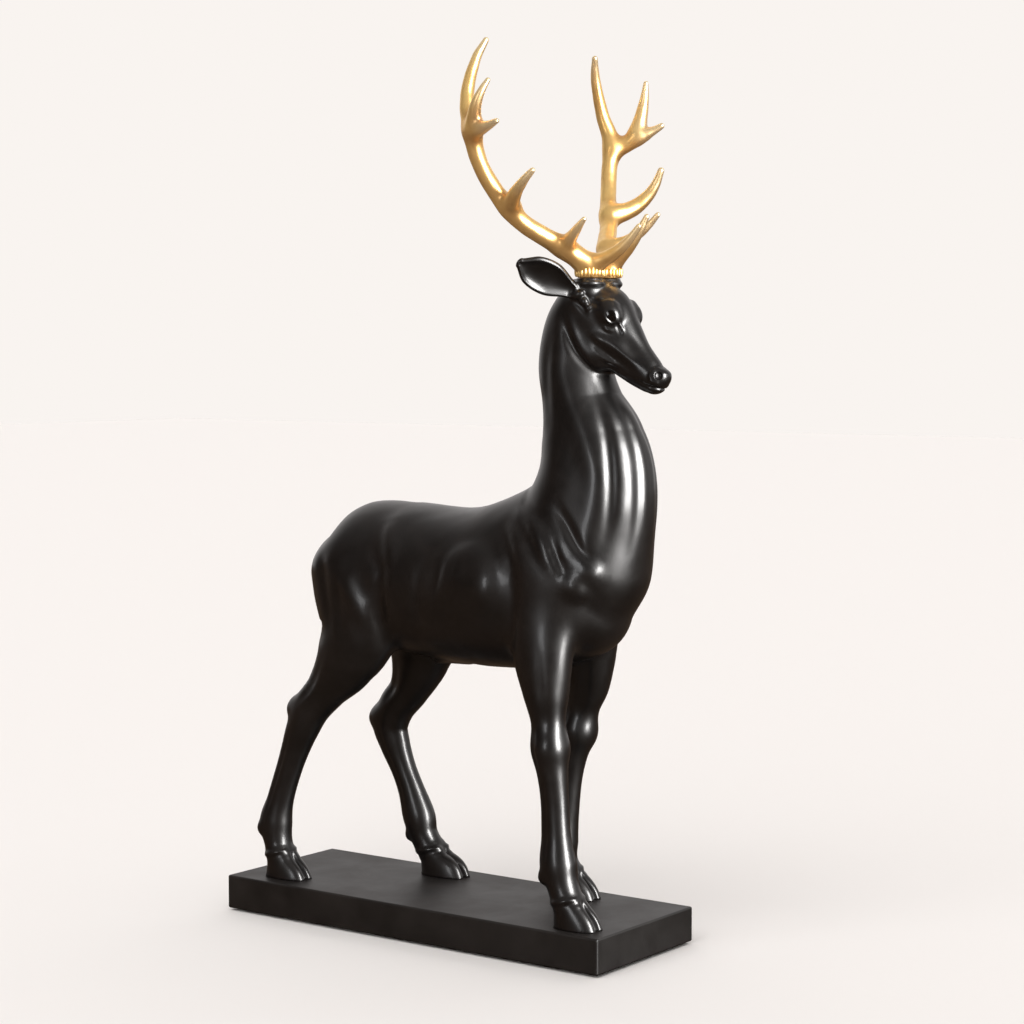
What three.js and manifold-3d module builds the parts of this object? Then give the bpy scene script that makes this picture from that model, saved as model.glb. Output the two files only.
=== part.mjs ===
// A standing stag figurine: a dark cast stag on a low oblong plinth, with two gilt antlers on its pedicles.
// Millimetres, +Z up, the stag faces +X and its left side is +Y. The origin is the middle of the underside.
import * as THREE from "three";
import { RoundedBoxGeometry } from "three/addons/geometries/RoundedBoxGeometry.js";
import { mergeVertices } from "three/addons/utils/BufferGeometryUtils.js";
import Module from "manifold-3d";

const wasm = await Module();
wasm.setup();

// Driving dimensions
const plinthLength = 330;
const plinthWidth = 118;
const plinthThickness = 24.5;
const plinthEdgeRound = 1.6;
const padThickness = 1.5;
const padInset = 9;
const padCornerRadius = 6;
const seatGap = 0.3;
const antlerSeat = 461;
const pedicle = { x: 124.8, spread: 10.4, radius: 9 };
const burrSize = { radius: 9.6, height: 7 };

const plinthTop = padThickness + seatGap + plinthThickness;
const hoofGround = plinthTop + seatGap;

const lacquer = new THREE.MeshStandardMaterial({ color: 0x14110f, roughness: 0.38, metalness: 0 });
const plinthPaint = new THREE.MeshStandardMaterial({ color: 0x171412, roughness: 0.5, metalness: 0 });
const gilt = new THREE.MeshStandardMaterial({ color: 0xc8923f, roughness: 0.3, metalness: 1 });
const foam = new THREE.MeshStandardMaterial({ color: 0x0d0d0d, roughness: 0.9, metalness: 0 });

// A closed mesh becomes a solid that can be joined and cut.
function solid(geometry) {
  const bare = geometry.clone();
  bare.deleteAttribute("normal");
  bare.deleteAttribute("uv");
  const merged = mergeVertices(bare, 1e-4);
  const triVerts = new Uint32Array(merged.index.array);
  const vertProperties = new Float32Array(merged.attributes.position.array);
  return new wasm.Manifold(new wasm.Mesh({ numProp: 3, vertProperties, triVerts }));
}

function block(size, at) {
  return solid(new THREE.BoxGeometry(...size).translate(...at));
}

function geometryOf(body) {
  const made = body.getMesh();
  const geometry = new THREE.BufferGeometry();
  geometry.setAttribute("position", new THREE.BufferAttribute(new Float32Array(made.vertProperties), 3));
  geometry.setIndex(new THREE.BufferAttribute(new Uint32Array(made.triVerts), 1));
  geometry.computeVertexNormals();
  return geometry;
}

function joined(solids) {
  return solids.reduce((sum, next) => sum.add(next));
}

function mesh(name, body, material) {
  const made = new THREE.Mesh(geometryOf(body), material);
  made.name = name;
  return made;
}

const yAxis = new THREE.Vector3(0, 1, 0);
const xAxis = new THREE.Vector3(1, 0, 0);
const capTurns = [0.35, 0.7];

// A limb: oval sections skinned along a smooth path through its stations.
// A station is [x, y, z, deep, wide]: wide is the section's radius along across, deep the one square to it.
function limb(stations, { sides = 9, steps = 2, across = yAxis, flatStart = false, flatEnd = false } = {}) {
  const path = new THREE.CatmullRomCurve3(
    stations.map(([x, y, z]) => new THREE.Vector3(x, y, z)), false, "catmullrom", 0.5);
  const size = new THREE.CatmullRomCurve3(
    stations.map((s) => new THREE.Vector3(s[3], s[4], 0)), false, "catmullrom", 0.5);
  const count = (stations.length - 1) * steps;
  const rings = [];
  for (let i = 0; i <= count; i += 1) {
    const t = i / count;
    rings.push({ at: path.getPoint(t), along: path.getTangent(t), size: size.getPoint(t) });
  }
  const capRings = (end, sign) => capTurns.map((turn) => {
    const angle = turn * Math.PI / 2;
    const reach = Math.min(end.size.x, end.size.y) * Math.sin(angle) * sign;
    return {
      at: end.at.clone().addScaledVector(end.along, reach),
      along: end.along,
      size: end.size.clone().multiplyScalar(Math.cos(angle)),
    };
  });
  const pole = (end, sign, flat) => {
    const reach = flat ? 0 : Math.min(end.size.x, end.size.y) * sign;
    return end.at.clone().addScaledVector(end.along, reach);
  };
  const first = rings[0];
  const last = rings[count];
  const all = [
    ...(flatStart ? [] : capRings(first, -1).reverse()),
    ...rings,
    ...(flatEnd ? [] : capRings(last, 1)),
  ];
  const points = [];
  for (const ring of all) {
    const wide = across.clone().addScaledVector(ring.along, -across.dot(ring.along)).normalize();
    const deep = new THREE.Vector3().crossVectors(wide, ring.along).normalize();
    for (let k = 0; k < sides; k += 1) {
      const angle = 2 * Math.PI * k / sides;
      points.push(ring.at.clone()
        .addScaledVector(deep, ring.size.x * Math.cos(angle))
        .addScaledVector(wide, ring.size.y * Math.sin(angle)));
    }
  }
  const startPole = points.push(pole(first, -1, flatStart)) - 1;
  const endPole = points.push(pole(last, 1, flatEnd)) - 1;
  const faces = [];
  for (let r = 0; r < all.length - 1; r += 1) {
    for (let k = 0; k < sides; k += 1) {
      const a = r * sides + k;
      const b = r * sides + (k + 1) % sides;
      faces.push(a, a + sides, b, b, a + sides, b + sides);
    }
  }
  const lastRing = (all.length - 1) * sides;
  for (let k = 0; k < sides; k += 1) {
    const next = (k + 1) % sides;
    faces.push(startPole, k, next, endPole, lastRing + next, lastRing + k);
  }
  const geometry = new THREE.BufferGeometry().setFromPoints(points);
  geometry.setIndex(faces);
  const body = solid(geometry);
  return body.volume() < 0 ? solid(flipped(geometry)) : body;
}

function flipped(geometry) {
  const turned = geometry.clone();
  const index = turned.index.array;
  for (let i = 0; i < index.length; i += 3) {
    [index[i + 1], index[i + 2]] = [index[i + 2], index[i + 1]];
  }
  return turned;
}

// A muscle or swelling: an ellipsoid, tipped about the Y axis by tilt degrees.
function swelling([x, y, z], [rx, ry, rz], tilt = 0, sides = 10) {
  const ball = new THREE.SphereGeometry(1, sides, Math.round(sides * 0.65));
  ball.scale(rx, ry, rz).rotateY(THREE.MathUtils.degToRad(tilt)).translate(x, y, z);
  return solid(ball);
}

// Trunk stations, as [x, y, z, deep, wide]
const torso = [
  [-90, 0, 260, 24, 27],
  [-74, 0, 260, 44, 42],
  [-38, 0, 251, 53.5, 47],
  [14, 0, 247, 55, 50],
  [62, 0, 250, 58, 50],
  [98, 0, 259, 59, 45],
  [122, 0, 272, 46, 36],
];
const neck = [
  [106, 0, 274, 56, 42],
  [117, 0, 302, 51.5, 38],
  [126, 0, 330, 41.5, 34],
  [120.5, 0, 354, 35.5, 30],
  [111, 0, 379, 28.5, 26],
  [105.5, 0, 403, 26, 23.5],
  [108, 0, 427, 24, 20.5],
  [116, 0, 443, 21, 18],
];
const head = [
  [116, 0, 443, 21, 18],
  [128, 0, 434, 24, 19.5],
  [141, 0, 420, 19, 16],
  [153.5, 0, 407, 14.2, 12],
  [165, 0, 397, 11.4, 10],
  [171, 0, 392, 9.4, 9.3],
];
const tail = [
  [-102, 0, 288, 9, 10],
  [-115, 0, 272, 9, 12],
  [-121, 0, 250, 8, 12],
  [-120, 0, 228, 5, 7],
];

// Leg girths from the body down, as [deep, wide], and each leg's own way through the same places.
const foreGirths = {
  shoulder: [30, 17], elbow: [24, 16], forearm: [17, 13.5], aboveKnee: [12.6, 10.6], knee: [13.2, 12],
  belowKnee: [11, 9.6], cannon: [10.2, 8.3], lowCannon: [10.8, 8.8], fetlock: [13.4, 11.2],
  pastern: [11.2, 10.4], foot: [11.6, 11],
};
const rightFore = {
  shoulder: [96, -26, 246], elbow: [102, -33, 212], forearm: [107, -36, 182], aboveKnee: [109.5, -37, 163],
  knee: [111.5, -38, 146], belowKnee: [114.5, -38.5, 127], cannon: [116.5, -39, 108],
  lowCannon: [118.5, -40, 86], fetlock: [120.5, -40.5, 67], pastern: [125, -41, 53], foot: [129.5, -41.5, 42],
};
const leftFore = {
  shoulder: [92, 24, 246], elbow: [95, 30, 212], forearm: [94, 33, 182], aboveKnee: [89, 34, 163],
  knee: [85, 34, 146], belowKnee: [80, 34, 127], cannon: [76.5, 34, 108], lowCannon: [73.5, 34, 86],
  fetlock: [70, 34, 66], pastern: [71.5, 34, 52], foot: [75.5, 34, 42],
};
const hindGirths = {
  hip: [34, 24], thigh: [33, 19.5], stifle: [26.3, 15.5], gaskin: [18.8, 12.5], hock: [15.8, 11.5],
  belowHock: [13, 10.2], topCannon: [11, 8.8], cannon: [10.2, 8.3], lowCannon: [10.5, 8.7],
  fetlock: [12.9, 10.8], pastern: [10.7, 10], foot: [11, 10.8],
};
const rightHind = {
  hip: [-74, -22, 258], thigh: [-61, -30, 218], stifle: [-70, -33, 190], gaskin: [-87, -33.5, 168.5],
  hock: [-103, -34, 154], belowHock: [-112.5, -34.5, 137], topCannon: [-120, -35, 119],
  cannon: [-127, -35.5, 101], lowCannon: [-133, -36, 83], fetlock: [-137, -36.5, 66],
  pastern: [-134.5, -37, 51], foot: [-131.5, -37.5, 42],
};
const leftHind = {
  hip: [-68, 20, 256], thigh: [-48, 26, 218], stifle: [-53, 28, 187], gaskin: [-63, 29, 164],
  hock: [-76, 30, 149], belowHock: [-82.5, 30.5, 135], topCannon: [-79, 31, 121], cannon: [-72, 32, 104],
  lowCannon: [-65, 33, 87], fetlock: [-58.5, 34, 68], pastern: [-54, 34.5, 54], foot: [-47, 36, 42],
};

// A leg with the two toes of its hoof and the dewclaws behind its fetlock.
function leg(places, girths) {
  const stations = Object.keys(places).map((name) => [...places[name], ...girths[name]]);
  const [footX, footY] = places.foot;
  const [backX, backY, backZ] = places.fetlock;
  const toes = [-1, 1].map((way) => limb([
    [footX - 0.5, footY + way * 4.5, 44, 9.5, 6],
    [footX + 2.5, footY + way * 6.2, 36, 12.5, 7],
    [footX + 6, footY + way * 7.6, 26, 15.5, 8],
    [footX + 8, footY + way * 8, 20, 16.5, 8.2],
  ], { steps: 1, flatEnd: true }));
  const dewclaws = [-1, 1].map((way) =>
    swelling([backX - 9, backY + way * 5.5, backZ - 6.5], [4.5, 3.6, 6], 20, 6));
  return [limb(stations), ...toes, ...dewclaws];
}

// A leaf-shaped ear, its hollow facing forward and outward.
function ear(way) {
  const stations = [
    [121, 15, 449, 4, 5],
    [116, 23, 453, 3.4, 8],
    [109, 34, 459, 3, 13.5],
    [102, 45, 465, 2.6, 11.5],
    [96.6, 54, 470.5, 1.8, 3],
  ];
  return limb(stations.map(([x, y, ...rest]) => [x, way * y, ...rest]), {
    across: new THREE.Vector3(0.23, way * 0.34, 0.91),
    sides: 10,
  });
}

// What the head and trunk carry on each side.
function sideForms(way) {
  return [
    limb([
      [pedicle.x - 4, way * pedicle.spread, antlerSeat - 13, pedicle.radius + 1, pedicle.radius + 1],
      [pedicle.x, way * pedicle.spread, antlerSeat, pedicle.radius, pedicle.radius],
    ]),
    ear(way),
    swelling([126, way * 9, 414], [17, 9, 15], 40),
    swelling([139, way * 12.5, 435], [12, 7, 8.5], 40),
    swelling([-80, way * 16, 244], [34, 26, 44], 10),
    swelling([102, way * 27, 262], [30, 18, 44], -15),
  ];
}

const withers = swelling([68, 0, 291], [28, 24, 19], -25);
const breast = swelling([118, 0, 238], [28, 30, 32]);
const belowHooves = block([400, 200, 60], [0, 0, hoofGround - 30]);
const aboveSeat = block([50, 42, 60], [126, 0, antlerSeat + 30]);

const stag = joined([
  limb(torso, { sides: 16 }),
  limb(neck, { sides: 14 }),
  limb(head, { sides: 12 }),
  limb(tail, { steps: 1 }),
  withers,
  breast,
  ...leg(rightFore, foreGirths),
  ...leg(leftFore, foreGirths),
  ...leg(rightHind, hindGirths),
  ...leg(leftHind, hindGirths),
  ...sideForms(-1),
  ...sideForms(1),
]).subtract(belowHooves).subtract(aboveSeat);

// A tine springs from root and tapers from radius to its tip, bowing out sideways and down in between.
function tine(way, { root, tip, radius, out = 0, down = 0 }) {
  const from = new THREE.Vector3(root[0], way * root[1], root[2]);
  const to = new THREE.Vector3(tip[0], way * tip[1], tip[2]);
  const bow = new THREE.Vector3(0, way * out, -down);
  const chord = to.clone().sub(from).normalize();
  bow.addScaledVector(chord, -bow.dot(chord));
  const station = (t) => {
    const at = from.clone().lerp(to, t).addScaledVector(bow, 4 * t * (1 - t));
    const r = radius * (1 - 0.78 * t);
    return [at.x, at.y, at.z, r, r];
  };
  return limb([0, 0.25, 0.5, 0.75, 1].map(station), { across: xAxis, sides: 7, steps: 1 });
}

const beam = [
  [pedicle.x, pedicle.spread, antlerSeat - 3, 8.4],
  [124.5, 11, 467, 7.6],
  [119.5, 20, 475.5, 7],
  [109, 32, 485.5, 6.4],
  [98, 51, 497.5, 6],
  [89, 64, 513.5, 5.7],
  [81.5, 76, 536, 5.4],
  [77.5, 82, 560, 6.2],
  [75, 78.5, 580, 4],
  [76.5, 70, 604, 2.9],
  [78, 63.5, 618, 1.6],
];
// Each antler's tines from the burr upwards; the last two share the upper fork.
const rightTines = [
  { root: [125, 11, 470], tip: [162, 11.5, 492], radius: 6, down: 5 },
  { root: [115, 26, 482], tip: [138, 37, 499], radius: 5.4, out: 1.5, down: 1 },
  { root: [95, 59, 508], tip: [125, 77, 529], radius: 6, out: 5, down: 1 },
  { root: [77, 82, 555], tip: [111, 97, 560], radius: 6, out: 1, down: 1 },
  { root: [86, 88, 560], tip: [101, 93, 587], radius: 5.2, out: 4.5 },
];
const leftTines = [
  { root: [125, 11, 470], tip: [162, 11.5, 500], radius: 6, down: 5 },
  { root: [114, 26, 482], tip: [138, 38, 503], radius: 5, out: 3, down: 2 },
  { root: [95, 60, 506], tip: [125, 76, 535], radius: 6.6, out: 5, down: 7 },
  { root: [77, 82, 555], tip: [112, 97, 571], radius: 7, down: 1 },
  { root: [95, 91, 567], tip: [102, 92, 601], radius: 5.8, out: 2 },
];

// The burr round the antler's foot.
function burr(way) {
  const tube = burrSize.height / 2;
  const ring = new THREE.TorusGeometry(burrSize.radius - tube, tube, 8, 14);
  return solid(ring.translate(pedicle.x, way * pedicle.spread, antlerSeat + seatGap + tube));
}

// An antler: a curved beam, its tines and the burr, cut flat where it sits on the pedicle.
function antler(way, tines) {
  const mirroredBeam = beam.map(([x, y, z, r]) => [x, way * y, z, r, r]);
  const belowSeat = block([60, 60, 60], [pedicle.x, 0, antlerSeat + seatGap - 30]);
  return joined([
    limb(mirroredBeam, { across: xAxis, sides: 8 }),
    burr(way),
    ...tines.map((one) => tine(way, one)),
  ]).subtract(belowSeat);
}

// The plinth and the thin pad stuck under it.
const plinth = new RoundedBoxGeometry(plinthLength, plinthWidth, plinthThickness, 2, plinthEdgeRound)
  .translate(0, 0, plinthTop - plinthThickness / 2);

function padOutline() {
  const x = plinthLength / 2 - padInset;
  const y = plinthWidth / 2 - padInset;
  const r = padCornerRadius;
  const outline = new THREE.Shape();
  outline.absarc(x - r, y - r, r, 0, Math.PI / 2);
  outline.absarc(r - x, y - r, r, Math.PI / 2, Math.PI);
  outline.absarc(r - x, r - y, r, Math.PI, Math.PI * 1.5);
  outline.absarc(x - r, r - y, r, Math.PI * 1.5, Math.PI * 2);
  return outline;
}

const pad = new THREE.ExtrudeGeometry(padOutline(), {
  depth: padThickness,
  bevelEnabled: false,
  curveSegments: 5,
});

const group = new THREE.Group();
group.add(
  mesh("base_pad", solid(pad), foam),
  mesh("plinth", solid(plinth), plinthPaint),
  mesh("stag", stag, lacquer),
  mesh("antler_right", antler(-1, rightTines), gilt),
  mesh("antler_left", antler(1, leftTines), gilt),
);

export default group;
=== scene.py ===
import math
import bpy
import numpy as np
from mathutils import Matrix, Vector


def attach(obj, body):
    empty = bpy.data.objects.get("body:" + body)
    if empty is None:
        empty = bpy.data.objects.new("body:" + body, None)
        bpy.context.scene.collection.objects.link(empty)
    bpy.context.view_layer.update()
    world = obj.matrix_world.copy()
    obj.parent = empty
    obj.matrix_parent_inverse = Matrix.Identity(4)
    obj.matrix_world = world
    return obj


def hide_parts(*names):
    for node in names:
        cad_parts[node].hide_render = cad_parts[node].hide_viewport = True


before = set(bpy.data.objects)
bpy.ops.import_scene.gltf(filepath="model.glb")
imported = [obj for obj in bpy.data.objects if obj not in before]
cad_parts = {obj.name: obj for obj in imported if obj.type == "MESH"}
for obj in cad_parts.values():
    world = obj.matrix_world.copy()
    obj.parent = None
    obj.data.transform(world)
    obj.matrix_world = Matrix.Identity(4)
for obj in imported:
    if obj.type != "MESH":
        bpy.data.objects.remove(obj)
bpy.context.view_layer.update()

# The stag and its antlers are modelled like clay. Each form knows its distance to any point. The forms are
# joined softly, marked with strokes and cut, and the surface where the distance is nil becomes the mesh.
# The clay is in millimetres, in the frame's axes. A station of a limb is x, y, z, deep, wide.
claySizes = {
    "far": 60.0,          # distance given to a point with no form near it
    "block": 12.0,        # side of the blocks that space is looked at in
    "wideBlock": 24.0,    # the same while the cells are large
    "levels": 4,          # sizes of cell, each half the one before
    "firstCells": 4,      # cells along each side of the blocks of the first search
    "rounds": 4,          # times that the points are pressed onto the clay
    "evening": 0.55,      # how far a point moves towards the middle of its neighbours
}


def unit(v):
    v = np.asarray(v, float)
    return v / np.linalg.norm(v)


def splineThrough(values):
    v = np.asarray(values, float)
    v = np.vstack([2 * v[0] - v[1], v, 2 * v[-1] - v[-2]])
    before, start, end, after = v[:-3], v[1:-2], v[2:-1], v[3:]
    slopeIn, slopeOut = 0.5 * (end - before), 0.5 * (after - start)
    rise = end - start
    return np.stack([start, slopeIn, 3 * rise - 2 * slopeIn - slopeOut, slopeIn + slopeOut - 2 * rise])


def stretchOf(spline, place):
    stretch = np.clip(place.astype(int), 0, spline.shape[1] - 1)
    return (place - stretch)[:, None], spline[:, stretch]


def splineValue(spline, place):
    t, c = stretchOf(spline, place)
    return c[0] + t * (c[1] + t * (c[2] + t * c[3]))


def splineAt(spline, place):
    # The spline's point at a place, with its slope and its bend there.
    t, c = stretchOf(spline, place)
    point = c[0] + t * (c[1] + t * (c[2] + t * c[3]))
    return point, c[1] + t * (2 * c[2] + 3 * t * c[3]), 2 * c[2] + 6 * t * c[3]


def softMin(a, b, soft):
    h = np.maximum(soft - np.abs(a - b), 0) / soft
    return np.minimum(a, b) - h * h * h * soft / 6


def ovalDistance(offset, radii):
    near = np.sqrt(((offset / radii) ** 2).sum(1))
    steep = np.sqrt(((offset / radii ** 2) ** 2).sum(1))
    return near * (near - 1) / np.maximum(steep, 1e-6)


class Form:
    # What the clay is made of: low and high are the corners of the box that it can change.
    def reaches(self, centre, radius):
        return True

    def shape(self, d, points, chosen):
        own = self.distance(points, chosen)
        return -softMin(-d, own, self.soft) if self.cut else softMin(d, own, self.soft)


class Path:
    # A smooth path through stations, in short stretches, so that only the near ones are worked out.
    def __init__(self, stations, finer=3):
        s = np.asarray(stations, float)
        self.path, self.girth = splineThrough(s[:, :3]), splineThrough(s[:, 3:])
        self.length = len(s) - 1
        self.places = np.linspace(0, self.length, self.length * finer + 1)
        at = splineAt(self.path, self.places)[0]
        self.starts, self.runs = at[:-1], np.diff(at, axis=0)
        self.runSquared = np.maximum((self.runs ** 2).sum(1), 1e-9)
        self.low, self.high = at.min(0), at.max(0)

    def near(self, centre, radius, reach):
        t = np.clip(((centre - self.starts) * self.runs).sum(1) / self.runSquared, 0, 1)
        away = np.linalg.norm(centre - self.starts - t[:, None] * self.runs, axis=1)
        nearest = away.min()
        return np.nonzero(away <= nearest + 2 * radius)[0] if nearest <= radius + reach else None

    def nearest(self, points, chosen, tries=1):
        # The place on the path nearest to each point, the gap to the point, and the way the path runs there.
        start, run, runSquared = self.starts[chosen], self.runs[chosen], self.runSquared[chosen]
        lead = points @ run.T - (start * run).sum(1)
        t = np.clip(lead / runSquared, 0, 1)
        best = ((start ** 2).sum(1) - 2 * points @ start.T + t * (t * runSquared - 2 * lead)).argmin(1)
        step = self.places[1] - self.places[0]
        place = self.places[chosen[best]] + t[np.arange(len(points)), best] * step
        for left in range(tries, 0, -1):
            at, slope, bend = splineAt(self.path, place)
            gap = points - at
            turn = np.maximum((slope ** 2).sum(1) - (gap * bend).sum(1), 0.15 * (slope ** 2).sum(1))
            move = np.clip((gap * slope).sum(1) / turn, -step / 2, step / 2)
            move = (np.clip(place + move, 0, self.length) - place)[:, None]
            if left > 1:
                place = place + move[:, 0]
        along = slope + move * bend
        along /= np.maximum(np.sqrt((along ** 2).sum(1)), 1e-6)[:, None]
        return place + move[:, 0], gap - move * (slope + 0.5 * move * bend), along


class Limb(Form):
    # An oval section swept along a path. A station is x, y, z, deep, wide and, where the far side of the path
    # is thicker or thinner, back. Wide lies along across, deep and back square to it.
    def __init__(self, stations, across=(0, 1, 0), soft=6.0, cut=False, finer=3):
        self.way = Path(stations, finer)
        self.across, self.soft, self.cut = np.array(across, float), soft, cut
        self.reach = np.asarray(stations, float)[:, 3:].max() + soft + 10
        self.low, self.high = self.way.low - self.reach, self.way.high + self.reach

    def reaches(self, centre, radius):
        return self.way.near(centre, radius, self.reach)

    def distance(self, points, chosen):
        place, gap, along = self.way.nearest(points, chosen, tries=2)
        girth = np.maximum(splineValue(self.way.girth, place), 0.2)
        wide = self.across - along * (along @ self.across)[:, None]
        wide /= np.maximum(np.sqrt((wide ** 2).sum(1)), 1e-6)[:, None]
        deep = np.cross(wide, along)
        offset = np.stack([(gap * deep).sum(1), (gap * wide).sum(1), (gap * along).sum(1)], 1)
        sides = girth[:, :2].copy()
        if girth.shape[1] > 2:
            sides[:, 0] = np.where(offset[:, 0] > 0, girth[:, 0], girth[:, 2])
        return ovalDistance(offset, np.column_stack([sides, sides.min(1)]))


class Ball(Form):
    # An oval swelling, tipped about Y and then turned about Z, in degrees.
    def __init__(self, centre, radii, tilt=0.0, turn=0.0, soft=6.0, cut=False):
        a, b = math.radians(tilt), math.radians(turn)
        aboutY = np.array([[math.cos(a), 0, math.sin(a)], [0, 1, 0], [-math.sin(a), 0, math.cos(a)]])
        aboutZ = np.array([[math.cos(b), -math.sin(b), 0], [math.sin(b), math.cos(b), 0], [0, 0, 1]])
        self.centre, self.radii = np.array(centre, float), np.array(radii, float)
        self.axes, self.soft, self.cut = aboutZ @ aboutY, soft, cut
        reach = self.radii.max() + soft + 10
        self.low, self.high = self.centre - reach, self.centre + reach

    def distance(self, points, chosen):
        return ovalDistance((points - self.centre) @ self.axes, self.radii)


class Drum(Form):
    # An upright round block between two heights, cut away for flat seats and feet.
    def __init__(self, x, y, radius, floor, top, soft):
        self.x, self.y, self.radius, self.floor, self.top = x, y, radius, floor, top
        self.soft, self.cut = soft, True
        self.low = np.array((x - radius, y - radius, floor)) - 12
        self.high = np.array((x + radius, y + radius, top)) + 12

    def distance(self, points, chosen):
        apart = np.hypot(points[:, 0] - self.x, points[:, 1] - self.y) - self.radius
        return np.maximum(apart, np.maximum(self.floor - points[:, 2], points[:, 2] - self.top))


class Stroke(Form):
    # A ridge or, with a height under nil, a groove along a path. A station is x, y, z, width, height.
    def __init__(self, stations):
        self.way = Path(stations)
        self.reach = np.asarray(stations, float)[:, 3].max() * 2.3
        self.low, self.high = self.way.low - self.reach, self.way.high + self.reach

    def reaches(self, centre, radius):
        return self.way.near(centre, radius, self.reach)

    def shape(self, d, points, chosen):
        place, gap, along = self.way.nearest(points, chosen)
        size = splineValue(self.way.girth, place)
        return d - size[:, 1] * np.exp(-(gap ** 2).sum(1) / np.maximum(size[:, 0], 0.1) ** 2)


class Uneven(Form):
    # The slight waviness that a cast and hand-finished surface keeps.
    def __init__(self, height, length):
        self.height, self.pace = height, 2 * math.pi / length
        self.low, self.high = np.full(3, -1e4), np.full(3, 1e4)

    def shape(self, d, points, chosen):
        x, y, z = (points * self.pace).T
        wave = np.sin(x + 1.7 * np.sin(0.6 * z + y)) + np.sin(1.1 * y + 1.3 * np.sin(0.7 * x)) + np.sin(
            0.8 * z + 1.5 * np.sin(0.5 * y - x))
        return d - self.height * wave / 3


class Clay:
    # The forms in the order they are put on. Space is looked at in blocks, which remember their near forms.
    def __init__(self, forms):
        self.forms, self.blocks = forms, {}
        self.lows, self.highs = np.array([f.low for f in forms]), np.array([f.high for f in forms])

    def near(self, cell, size):
        key = (size, *cell)
        if key not in self.blocks:
            low, high, centre = cell * size, (cell + 1) * size, (cell + 0.5) * size
            meets = ((self.lows < high) & (self.highs > low)).all(1)
            halfDiagonal = size * 0.87
            found = [(form, form.reaches(centre, halfDiagonal))
                     for form, met in zip(self.forms, meets) if met]
            self.blocks[key] = [(form, chosen) for form, chosen in found if chosen is not None]
        return self.blocks[key]

    def distance(self, points, size=claySizes["block"]):
        found = np.full(len(points), claySizes["far"])
        if not len(points):
            return found
        cells = np.floor(points / size).astype(np.int64)
        keys = keyOf(cells + span // 2)
        order = np.argsort(keys, kind="stable")
        for group in np.split(order, np.nonzero(np.diff(keys[order]))[0] + 1):
            near = self.near(cells[group[0]], size)
            if near:
                d, p = found[group], points[group]
                for form, chosen in near:
                    d = form.shape(d, p, chosen)
                found[group] = d
        return found


corners = np.array([[x, y, z] for x in (0, 1) for y in (0, 1) for z in (0, 1)])
cellEdges = [(axis, k, k + (4, 2, 1)[axis]) for axis in range(3) for k in range(8) if not corners[k][axis]]
span = 1 << 13            # a cell's three numbers are kept as one, each below this


def keyOf(cells):
    return (cells[:, 0] * span + cells[:, 1]) * span + cells[:, 2]


def cellsOf(keys):
    return np.stack([keys // (span * span), keys // span % span, keys % span], 1)


def within(sortedKeys, keys):
    if not len(sortedKeys):
        return np.zeros(len(keys), bool)
    return sortedKeys[np.minimum(np.searchsorted(sortedKeys, keys), len(sortedKeys) - 1)] == keys


def gridOf(counts):
    return np.stack(np.meshgrid(*[np.arange(n) for n in counts], indexing="ij"), -1).reshape(-1, 3)


def divided(cells, times):
    return (cells[:, None] * times + gridOf([times] * 3)).reshape(-1, 3)


def normalsOf(points, triangles):
    a, b, c = (points[triangles[:, k]] for k in range(3))
    face, owner = np.cross(b - a, c - a), triangles.ravel()
    total = np.stack([np.bincount(owner, np.repeat(face[:, k], 3), len(points)) for k in range(3)], 1)
    return total / np.maximum(np.linalg.norm(total, axis=1), 1e-12)[:, None]


def trianglesOf(points, quads):
    # Cuts each quad across its shorter diagonal.
    q = points[quads]
    first = ((q[:, 0] - q[:, 2]) ** 2).sum(1) <= ((q[:, 1] - q[:, 3]) ** 2).sum(1)
    first = (first | (quads[:, 0] == quads[:, 2])) & (quads[:, 1] != quads[:, 3])
    a, b = quads[first], quads[~first]
    t = np.concatenate([a[:, [0, 1, 2]], a[:, [0, 2, 3]], b[:, [0, 1, 3]], b[:, [1, 2, 3]]])
    return t[(t[:, 0] != t[:, 1]) & (t[:, 1] != t[:, 2]) & (t[:, 2] != t[:, 0])]


def crossingsOf(clay, low, high, spacing, finenessAt):
    # Halves the cells near the surface where finenessAt asks for it. Gives back the cells halved at each
    # level, and the edges that the surface crosses, with the spot where it does.
    levels, coarse = claySizes["levels"], claySizes["firstCells"]
    blocks = gridOf(np.ceil((np.array(high) - low) / (spacing * coarse)).astype(int))
    away = clay.distance(low + (blocks + 0.5) * spacing * coarse, claySizes["wideBlock"])
    cells = divided(blocks[np.abs(away) < spacing * coarse * 1.5], coarse)
    halved, found = [np.zeros(0, np.int64)] * levels, []
    for level in range(levels):
        size = spacing / 2 ** level
        wanted, back = np.unique(keyOf((cells[:, None] + corners).reshape(-1, 3)), return_inverse=True)
        block = claySizes["wideBlock" if level == 0 else "block"]
        values = clay.distance(low + cellsOf(wanted) * size, block)[back].reshape(-1, 8)
        close = np.abs(values).min(1) < 1.6 * size
        cells, values = cells[close], values[close]
        split = np.zeros(len(cells), bool)
        if level + 1 < levels:
            split = finenessAt(low + (cells + 0.5) * size) > level
        halved[level] = np.sort(keyOf(cells[split]))
        leaves, values = cells[~split], values[~split]
        for axis, a, b in cellEdges:
            crossed = np.nonzero((values[:, a] < 0) != (values[:, b] < 0))[0]
            start, end = values[crossed, a], values[crossed, b]
            base = leaves[crossed] + corners[a]
            spot = low + base * size
            spot[:, axis] += size * start / (start - end)
            found.append((level, axis, base, spot, start > 0))
        cells = divided(cells[split], 2)
    return halved, found


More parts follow.
